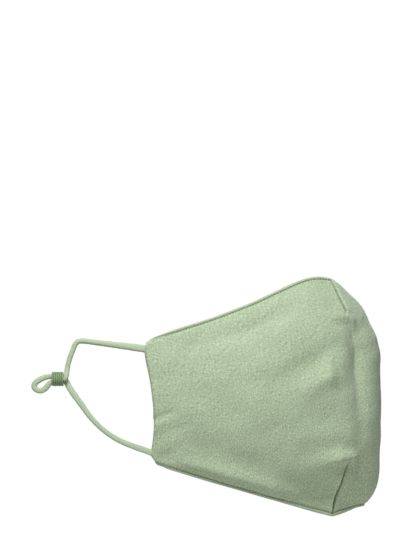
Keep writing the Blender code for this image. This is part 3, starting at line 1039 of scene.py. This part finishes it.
def stitch_tree():
    tree = bpy.data.node_groups.new("stitches along a line", "GeometryNodeTree")
    face = tree.interface
    face.new_socket("Line", in_out="INPUT", socket_type="NodeSocketGeometry")
    for name in ("Pitch", "Stitch length", "Thread thickness"):
        socket = face.new_socket(name, in_out="INPUT", socket_type="NodeSocketFloat")
        socket.subtype = "DISTANCE"
    face.new_socket("Thread", in_out="INPUT", socket_type="NodeSocketMaterial")
    face.new_socket("Stitches", in_out="OUTPUT", socket_type="NodeSocketGeometry")
    nodes, links = tree.nodes, tree.links
    given = nodes.new("NodeGroupInput")
    result = nodes.new("NodeGroupOutput")
    to_curve = nodes.new("GeometryNodeMeshToCurve")
    even = nodes.new("GeometryNodeResampleCurve")
    even.mode = "LENGTH"
    tangent = nodes.new("GeometryNodeInputTangent")
    turn = nodes.new("FunctionNodeAlignRotationToVector")
    turn.axis = "Z"
    ball = nodes.new("GeometryNodeMeshUVSphere")
    ball.inputs["Segments"].default_value = 8
    ball.inputs["Rings"].default_value = 6
    ball.inputs["Radius"].default_value = 0.5
    size = nodes.new("ShaderNodeCombineXYZ")
    uneven = nodes.new("FunctionNodeRandomValue")
    uneven.data_type = "FLOAT"
    uneven.inputs[2].default_value = UNEVEN_FROM
    uneven.inputs[3].default_value = UNEVEN_TO
    uneven.inputs["Seed"].default_value = 7
    grow = nodes.new("ShaderNodeVectorMath")
    grow.operation = "SCALE"
    place = nodes.new("GeometryNodeInstanceOnPoints")
    real = nodes.new("GeometryNodeRealizeInstances")
    finish = nodes.new("GeometryNodeSetMaterial")
    smooth = nodes.new("GeometryNodeSetShadeSmooth")
    links.new(given.outputs["Line"], to_curve.inputs["Mesh"])
    links.new(to_curve.outputs["Curve"], even.inputs["Curve"])
    links.new(given.outputs["Pitch"], even.inputs["Length"])
    links.new(tangent.outputs["Tangent"], turn.inputs["Vector"])
    links.new(given.outputs["Thread thickness"], size.inputs["X"])
    links.new(given.outputs["Thread thickness"], size.inputs["Y"])
    links.new(given.outputs["Stitch length"], size.inputs["Z"])
    links.new(size.outputs["Vector"], grow.inputs[0])
    links.new(uneven.outputs[1], grow.inputs["Scale"])
    links.new(even.outputs["Curve"], place.inputs["Points"])
    links.new(ball.outputs["Mesh"], place.inputs["Instance"])
    links.new(turn.outputs["Rotation"], place.inputs["Rotation"])
    links.new(grow.outputs["Vector"], place.inputs["Scale"])
    links.new(place.outputs["Instances"], smooth.inputs["Geometry"])
    links.new(smooth.outputs["Geometry"], real.inputs["Geometry"])
    links.new(real.outputs["Geometry"], finish.inputs["Geometry"])
    links.new(given.outputs["Thread"], finish.inputs["Material"])
    links.new(finish.outputs["Geometry"], result.inputs["Stitches"])
    return tree


STITCHES = stitch_tree()
print("stitch tree:", len(STITCHES.nodes), "nodes")

# %% [markdown]
# ## Where the stitches lie
# The thread follows a row of the fine sheet close to its border, so it sits in the groove on
# every bend. A drawn line of edges is enough as a guide, since the tree makes the thread.

# %% Lay the stitches
GROOVE_AT = 0.0003                           # distance of the stitches from the border
STITCH_REACH = 0.975
THREAD_PROUD = 0.15                          # how far the thread's middle stands out, in thicknesses


def groove_line(edge):
    """Line on the outer face that the stitches follow."""
    row = int(np.argmin(np.abs(from_bottom[:, COLUMNS // 2] - GROOVE_AT)))
    rows = outer[row] if edge == "bottom" else outer[-1 - row]
    lift = normals[row] if edge == "bottom" else normals[-1 - row]
    whole = walked_along(rows)
    keep = (whole > whole[-1] * (1 - STITCH_REACH) / 2)
    keep &= (whole < whole[-1] * (1 + STITCH_REACH) / 2)
    return (rows + lift * THREAD_THICK * THREAD_PROUD)[keep]


def add_stitches(name, line, thread):
    mesh = bpy.data.meshes.new(name)
    mesh.from_pydata([tuple(p) for p in line], [(k, k + 1) for k in range(len(line) - 1)], [])
    piece = add_piece(name, mesh)
    modifier = piece.modifiers.new("stitches", "NODES")
    modifier.node_group = STITCHES
    wanted = {"Pitch": STITCH_PITCH, "Stitch length": STITCH_LENGTH,
              "Thread thickness": THREAD_THICK, "Thread": thread}
    for item in STITCHES.interface.items_tree:
        if item.in_out == "INPUT" and item.name in wanted:
            modifier[item.identifier] = wanted[item.name]
    graph = bpy.context.evaluated_depsgraph_get()
    plain = bpy.data.meshes.new_from_object(piece.evaluated_get(graph))
    piece.modifiers.remove(modifier)
    piece.data = plain
    print(name, "faces:", len(plain.polygons))
    return piece


# %% [markdown]
# ## Helpers for the finishes
# The helpers add one node each and return its output, so a finish reads like a sum. Roughness
# and sheen are set straight on the shader.

# %% Small helpers for materials
DULL = 0.12                                  # cloth, thread and soft rubber hardly mirror


def new_material(name, roughness, sheen, sheen_tint, sheen_roughness=0.5):
    """Material with its nodes, its links and its shader."""
    material = bpy.data.materials.new(name)
    material.use_nodes = True
    nodes = material.node_tree.nodes
    shader = nodes["Principled BSDF"]
    shader.inputs["Roughness"].default_value = roughness
    shader.inputs["Specular IOR Level"].default_value = DULL
    shader.inputs["Sheen Weight"].default_value = sheen
    shader.inputs["Sheen Roughness"].default_value = sheen_roughness
    shader.inputs["Sheen Tint"].default_value = (*sheen_tint, 1.0)
    return material, nodes, material.node_tree.links, shader


def multiply(nodes, links, first, second):
    node = nodes.new("ShaderNodeMath")
    node.operation = "MULTIPLY"
    for value, socket in ((first, node.inputs[0]), (second, node.inputs[1])):
        if isinstance(value, float):
            socket.default_value = value
        else:
            links.new(value, socket)
    return node.outputs["Value"]


def tinted(nodes, links, colour, factor):
    """A colour, fixed or from a node, whose brightness follows a factor."""
    node = nodes.new("ShaderNodeVectorMath")
    node.operation = "SCALE"
    if isinstance(colour, tuple):
        node.inputs[0].default_value = colour
    else:
        links.new(colour, node.inputs[0])
    links.new(factor, node.inputs["Scale"])
    return node.outputs["Vector"]


def flat_place(nodes, links, layer, stretch):
    """Place on the flat cut of a piece, with a stretch along each direction."""
    uv = nodes.new("ShaderNodeUVMap")
    uv.uv_map = layer
    scale = nodes.new("ShaderNodeVectorMath")
    scale.operation = "MULTIPLY"
    scale.inputs[1].default_value = stretch
    links.new(uv.outputs["UV"], scale.inputs[0])
    return scale.outputs["Vector"]


print("share of a plain surface's reflection:", DULL)

# %% [markdown]
# ## Noise and relief
# Every finish here is worked out from noise, so it needs no picture and stays sharp up close.
# Noise rarely leaves the middle part of its range, so that part is spread over the wanted one.
# Relief is a bump that only turns the light, because the yarn is far finer than the mesh.

# %% Noise and relief
NOISE_LOW, NOISE_HIGH = 0.3, 0.7             # between these lies nearly all of the noise


def noise(nodes, links, source, scale, detail=2.0, roughness=0.55):
    """Cloudy noise, its scale in cells for each metre."""
    node = nodes.new("ShaderNodeTexNoise")
    node.inputs["Scale"].default_value = scale
    node.inputs["Detail"].default_value = detail
    node.inputs["Roughness"].default_value = roughness
    links.new(source, node.inputs["Vector"])
    return node.outputs["Fac"]


def spread(nodes, links, value, low, high, to_low, to_high):
    """A value from low to high, read as one from to_low to to_high."""
    node = nodes.new("ShaderNodeMapRange")
    for name, number in (("From Min", low), ("From Max", high), ("To Min", to_low), ("To Max", to_high)):
        node.inputs[name].default_value = number
    links.new(value, node.inputs["Value"])
    return node.outputs["Result"]


def mottle(nodes, links, source, scale, low, high, detail=2.0, roughness=0.55):
    """Noise as a factor from low to high."""
    cloudy = noise(nodes, links, source, scale, detail, roughness)
    return spread(nodes, links, cloudy, NOISE_LOW, NOISE_HIGH, low, high)


def bump(nodes, links, height, distance, strength, below=None):
    """Relief from a height, on top of another relief if one is given."""
    node = nodes.new("ShaderNodeBump")
    node.inputs["Distance"].default_value = distance
    node.inputs["Strength"].default_value = strength
    links.new(height, node.inputs["Height"])
    if below is not None:
        links.new(below, node.inputs["Normal"])
    return node.outputs["Normal"]


print("part of the noise in use:", NOISE_LOW, "to", NOISE_HIGH)

# %% [markdown]
# ## Yarn
# The cloth is a fine brushed jersey. Its yarns are dyed unevenly, so pale and dark specks lie a
# yarn apart, and brushing draws their fibres into short slanting strokes. A real knit could be
# modelled loop by loop, but at this distance only specks are seen, so they are drawn as noise,
# laid over the flat cut and stretched along the nap.

# %% Specks of yarn
CLOTH_COLOUR = (0.402, 0.497, 0.345)
WARMER = (1.03, 1.0, 0.985)
COOLER = (0.975, 1.0, 1.01)
GRAIN = 0.00058                              # size of one speck of yarn
NAP_TURN = -0.72                             # the nap runs down and to the front, in radians
NAP_LENGTH = 2.1
NAP_WIDTH = 0.85


def along_nap(nodes, links, layer):
    """Place on the flat cut, turned so that its first direction lies along the brushed nap."""
    uv = nodes.new("ShaderNodeUVMap")
    uv.uv_map = layer
    turned = nodes.new("ShaderNodeMapping")
    turned.vector_type = "TEXTURE"
    turned.inputs["Rotation"].default_value = (0.0, 0.0, NAP_TURN)
    turned.inputs["Scale"].default_value = (NAP_LENGTH, NAP_WIDTH, 1.0)
    links.new(uv.outputs["UV"], turned.inputs["Vector"])
    return turned.outputs["Vector"]


def yarn_colour(nodes, links, place, colour):
    """Cloth colour in specks of pale and dark yarn, with warm and cool ones among them."""
    speck = spread(nodes, links, noise(nodes, links, place, 1 / GRAIN, roughness=0.65),
                   0.34, 0.66, 0.62, 1.38)
    hair = mottle(nodes, links, place, 2.1 / GRAIN, 0.88, 1.12, roughness=0.6)
    warm = noise(nodes, links, place, 0.8 / GRAIN, detail=1.0)
    tint = nodes.new("ShaderNodeMix")
    tint.data_type = "RGBA"
    for socket, change in ((tint.inputs[6], COOLER), (tint.inputs[7], WARMER)):
        socket.default_value = (*(c * t for c, t in zip(colour, change)), 1.0)
    links.new(spread(nodes, links, warm, 0.40, 0.60, 0.0, 1.0), tint.inputs[0])
    return tinted(nodes, links, tint.outputs[2], multiply(nodes, links, speck, hair))


print("a speck of yarn in mm:", GRAIN * 1000)

# %% [markdown]
# ## Cloth and rolled edge
# The shell is coloured over its flat cut, and the rolls over the length walked, so the specks
# keep one size on both. Larger blotches make the cloth a little uneven, a relief makes single
# yarns catch the light, and a sheen stands for the short fibres that scatter light where the
# cloth turns away. At the bottom of a dart the colour is darkened as painted shade.

# %% Cloth and rolled edge
SHEEN_TINT = (0.92, 0.95, 0.90)
SHEEN_ROUGHNESS = 0.35
CLOTH_ROUGHNESS = 0.92
BLOTCHES = 300.0                             # cells of noise for each metre
CLOUDS = 45.0
WRINKLES = 260.0
NAP_HEIGHT = 0.0006
# painted shade at the bottom of each dart: where it begins and how dark it gets
SEAM_FROM = 0.25                             # share of a dart's depth where the shade begins
SEAM_SHADE = 0.55                            # what is left of the colour at the bottom of a dart
ROLL_ROUND = 0.006                           # way round a roll, a little long to even the specks


def cloth_material():
    material, nodes, links, shader = new_material(
        "brushed_jersey", CLOTH_ROUGHNESS, 0.45, SHEEN_TINT, SHEEN_ROUGHNESS)
    place = flat_place(nodes, links, "cut", (1.0, 1.0, 1.0))
    grain = along_nap(nodes, links, "cut")
    blotch = mottle(nodes, links, place, BLOTCHES, 0.96, 1.04, detail=3.0)
    cloud = mottle(nodes, links, place, CLOUDS, 0.97, 1.03)
    # painted shade: the colour is darkened at the bottom of each dart's seam
    painted_seam_shade = nodes.new("ShaderNodeAttribute")
    painted_seam_shade.attribute_name = "painted_seam_shade"
    seam_shade_factor = spread(nodes, links, painted_seam_shade.outputs["Fac"], SEAM_FROM, 1.0, 1.0, SEAM_SHADE)
    shade = multiply(nodes, links, multiply(nodes, links, blotch, cloud), seam_shade_factor)
    toned = tinted(nodes, links, yarn_colour(nodes, links, grain, CLOTH_COLOUR), shade)
    links.new(toned, shader.inputs["Base Color"])
    nap = bump(nodes, links, noise(nodes, links, grain, 0.9 / GRAIN, 3.0, 0.65),
               distance=NAP_HEIGHT, strength=0.8)
    soft = bump(nodes, links, noise(nodes, links, place, WRINKLES),
                distance=0.0008, strength=0.35, below=nap)
    links.new(soft, shader.inputs["Normal"])
    return material


def roll_material():
    material, nodes, links, shader = new_material(
        "turned_edge", CLOTH_ROUGHNESS, 0.35, SHEEN_TINT, SHEEN_ROUGHNESS)
    place = flat_place(nodes, links, "along", (ROLL_ROUND, 1.0, 1.0))
    links.new(yarn_colour(nodes, links, place, CLOTH_COLOUR), shader.inputs["Base Color"])
    nap = bump(nodes, links, noise(nodes, links, place, 0.9 / GRAIN, 3.0),
               distance=0.0005, strength=0.8)
    links.new(nap, shader.inputs["Normal"])
    return material


CLOTH = cloth_material()
ROLL = roll_material()
mask_cloth.data.materials.append(CLOTH)
for roll in (top_roll, bottom_roll):
    roll.data.materials.append(ROLL)
print("finishes:", CLOTH.name, "and", ROLL.name)

# %% [markdown]
# ## Thread
# The thread's colour is darker than the cloth as painted shade, for the shade it lies in at the
# bottom of a groove, and that is what makes the row of stitches read as small dots. Its material
# goes into the stitch tree, so the stitches are made only now.

# %% Thread and the two rows of stitches
# darker than the cloth: painted shade of the groove the thread lies in
THREAD_SHADED_COLOUR = (0.19, 0.25, 0.16)
THREAD_SPECKS = 3200.0


def thread_material():
    material, nodes, links, shader = new_material(
        "thread", roughness=0.7, sheen=0.1, sheen_tint=(0.8, 0.9, 0.75))
    place = nodes.new("ShaderNodeTexCoord").outputs["Object"]
    speck = mottle(nodes, links, place, THREAD_SPECKS, 0.78, 1.0)
    links.new(tinted(nodes, links, THREAD_SHADED_COLOUR, speck), shader.inputs["Base Color"])
    return material


THREAD = thread_material()
top_stitches = add_stitches("top_stitches", groove_line("top"), THREAD)
bottom_stitches = add_stitches("bottom_stitches", groove_line("bottom"), THREAD)

# %% [markdown]
# ## Elastic
# Knitted elastic shows short slanting stitches that run along it, paler than the cloth. They are
# slanting bands of a wave over the tube's own map, as wide as the tube is round, so they keep
# their slant on every bend. The same wave gives the colour and the relief.

# %% Elastic
ELASTIC_COLOUR = (0.438, 0.545, 0.371)
KNIT_BANDS = 520.0
KNIT_SPECKS = 2200.0
KNIT_FIBRES = 3000.0


def elastic_material():
    material, nodes, links, shader = new_material(
        "knitted_elastic", roughness=0.85, sheen=0.30, sheen_tint=(0.85, 0.95, 0.80))
    round_turn = math.pi * CORD_THICK
    place = flat_place(nodes, links, "along", (round_turn, 1.0, 1.0))
    lines = nodes.new("ShaderNodeTexWave")
    lines.bands_direction = "DIAGONAL"
    lines.inputs["Scale"].default_value = KNIT_BANDS
    lines.inputs["Distortion"].default_value = 1.2
    lines.inputs["Detail"].default_value = 1.0
    links.new(place, lines.inputs["Vector"])
    knit = spread(nodes, links, lines.outputs["Fac"], 0.0, 1.0, 0.90, 1.06)
    speck = mottle(nodes, links, place, KNIT_SPECKS, 0.92, 1.08, detail=3.0)
    links.new(tinted(nodes, links, ELASTIC_COLOUR, multiply(nodes, links, knit, speck)),
              shader.inputs["Base Color"])
    ridges = bump(nodes, links, lines.outputs["Fac"], distance=0.00016, strength=0.8)
    fibres = bump(nodes, links, noise(nodes, links, place, KNIT_FIBRES, 3.0),
                  distance=0.00012, strength=0.5, below=ridges)
    links.new(fibres, shader.inputs["Normal"])
    return material


ELASTIC = elastic_material()
for piece in (ear_loop_right, ear_loop_left):
    piece.data.materials.append(ELASTIC)
print("finish:", ELASTIC.name)

# %% [markdown]
# ## Rubber
# The bead is moulded from a soft rubber in a darker tone, with painted shade between its ribs.
# The grooves are known from the bead's own attribute, which says how near the crown of a rib
# each point is, so the painted shade follows the ribs however the bead is lit.

# %% Rubber
BEAD_COLOUR = (0.212, 0.305, 0.165)
RUBBER_CLOUDS = 900.0
RUBBER_SPECKS = 2600.0


def bead_material():
    material, nodes, links, shader = new_material(
        "soft_rubber", roughness=0.6, sheen=0.05, sheen_tint=(0.7, 0.8, 0.6))
    place = nodes.new("ShaderNodeTexCoord").outputs["Object"]
    cloud = mottle(nodes, links, place, RUBBER_CLOUDS, 0.90, 1.10, detail=3.0)
    crown = nodes.new("ShaderNodeAttribute")
    crown.attribute_name = "crown"
    # painted shade between the ribs, and a little lighter on their crowns
    groove = spread(nodes, links, crown.outputs["Fac"], 0.0, 1.0, 0.60, 1.12)
    shade = multiply(nodes, links, cloud, groove)
    links.new(tinted(nodes, links, BEAD_COLOUR, shade), shader.inputs["Base Color"])
    specks = bump(nodes, links, noise(nodes, links, place, RUBBER_SPECKS),
                  distance=0.00006, strength=0.4)
    links.new(specks, shader.inputs["Normal"])
    return material


RUBBER = bead_material()
for piece in (bead_right, bead_left):
    piece.data.materials.append(RUBBER)
print("finish:", RUBBER.name)

# %% [markdown]
# ## Tie the pieces to the frame
# Each finer piece names the plain solid it stands for, which is then hidden, and rides on the one
# body of the mask. The stitches stand for no solid, since the plain model has none.

for piece, nodes_named, slot in (
        (mask_cloth, ("mask_cloth",), "cloth"),
        (top_roll, ("top_hem",), "cloth"),
        (bottom_roll, ("bottom_hem",), "cloth"),
        (top_stitches, (), "cloth"),
        (bottom_stitches, (), "cloth"),
        (ear_loop_right, ("ear_loop_right",), "elastic"),
        (ear_loop_left, ("ear_loop_left",), "elastic"),
        (bead_right, ("adjuster_right",), "bead"),
        (bead_left, ("adjuster_left",), "bead")):
    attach(piece, "root")
    if nodes_named:
        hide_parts(*nodes_named)

# %% [markdown]
# ## Light
# A soft lamp above and to the ear side leaves the chin and the front in soft shade, and its
# slanting light is what makes the folds show. A second, weak lamp stands in front, below the
# first, so that the front doesn't go dark. The room itself is white to the eye and dim as a
# light, because one that is as bright as it looks would wash the folds out.

# %% Room, floor and lamps
ROOM_LIGHT = 0.16
ROOM_TINT = (0.96, 0.98, 1.0, 1.0)
FLOOR_UP = -0.175
FLOOR_SIZE = 0.9
FLOOR_COLOUR = (0.80, 0.80, 0.79, 1.0)
LIT_PLACE = Vector((-0.04, 0.03, -0.06))     # both lamps look at the near cheek


def make_room():
    """White where the camera sees it, dim where it lights the mask."""
    world = bpy.data.worlds.new("room")
    bpy.context.scene.world = world
    world.use_nodes = True
    nodes, links = world.node_tree.nodes, world.node_tree.links
    seen, given, ray, pick = (nodes["Background"], nodes.new("ShaderNodeBackground"),
                              nodes.new("ShaderNodeLightPath"), nodes.new("ShaderNodeMixShader"))
    seen.inputs["Color"].default_value = (1.0, 1.0, 1.0, 1.0)
    seen.inputs["Strength"].default_value = 1.0
    given.inputs["Color"].default_value = ROOM_TINT
    given.inputs["Strength"].default_value = ROOM_LIGHT
    links.new(ray.outputs["Is Camera Ray"], pick.inputs["Fac"])
    links.new(given.outputs["Background"], pick.inputs[1])
    links.new(seen.outputs["Background"], pick.inputs[2])
    links.new(pick.outputs["Shader"], nodes["World Output"].inputs["Surface"])


def add_lamp(name, place, size, power, colour=(1.0, 1.0, 1.0)):
    data = bpy.data.lights.new(name, "AREA")
    data.shape = "DISK"
    data.size = size
    data.energy = power
    data.color = colour
    lamp = bpy.data.objects.new(name, data)
    bpy.context.scene.collection.objects.link(lamp)
    lamp.location = place
    lamp.rotation_mode = "QUATERNION"
    lamp.rotation_quaternion = (LIT_PLACE - lamp.location).to_track_quat("-Z", "Y")
    return lamp


def add_floor():
    half = FLOOR_SIZE / 2
    mesh = bpy.data.meshes.new("floor")
    corners = [(-half, -half, FLOOR_UP), (half, -half, FLOOR_UP), (half, half, FLOOR_UP),
               (-half, half, FLOOR_UP)]
    mesh.from_pydata(corners, [], [(0, 1, 2, 3)])
    material = bpy.data.materials.new("floor")
    material.use_nodes = True
    shader = material.node_tree.nodes["Principled BSDF"]
    shader.inputs["Base Color"].default_value = FLOOR_COLOUR
    shader.inputs["Roughness"].default_value = 0.9
    mesh.materials.append(material)
    return add_piece("floor", mesh)


make_room()
key = add_lamp("key", Vector((-0.36, 0.14, 0.37)), size=0.18, power=3.45, colour=(1.0, 0.99, 0.97))
fill = add_lamp("fill", Vector((-0.22, -0.46, -0.06)), size=0.30, power=0.32)
floor = add_floor()
print("lamps in watts:", key.data.energy, "and", round(fill.data.energy, 2))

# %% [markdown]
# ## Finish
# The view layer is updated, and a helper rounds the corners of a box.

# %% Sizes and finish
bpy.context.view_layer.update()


def plain(box):
    return [[round(value, 5) for value in corner] for corner in box]
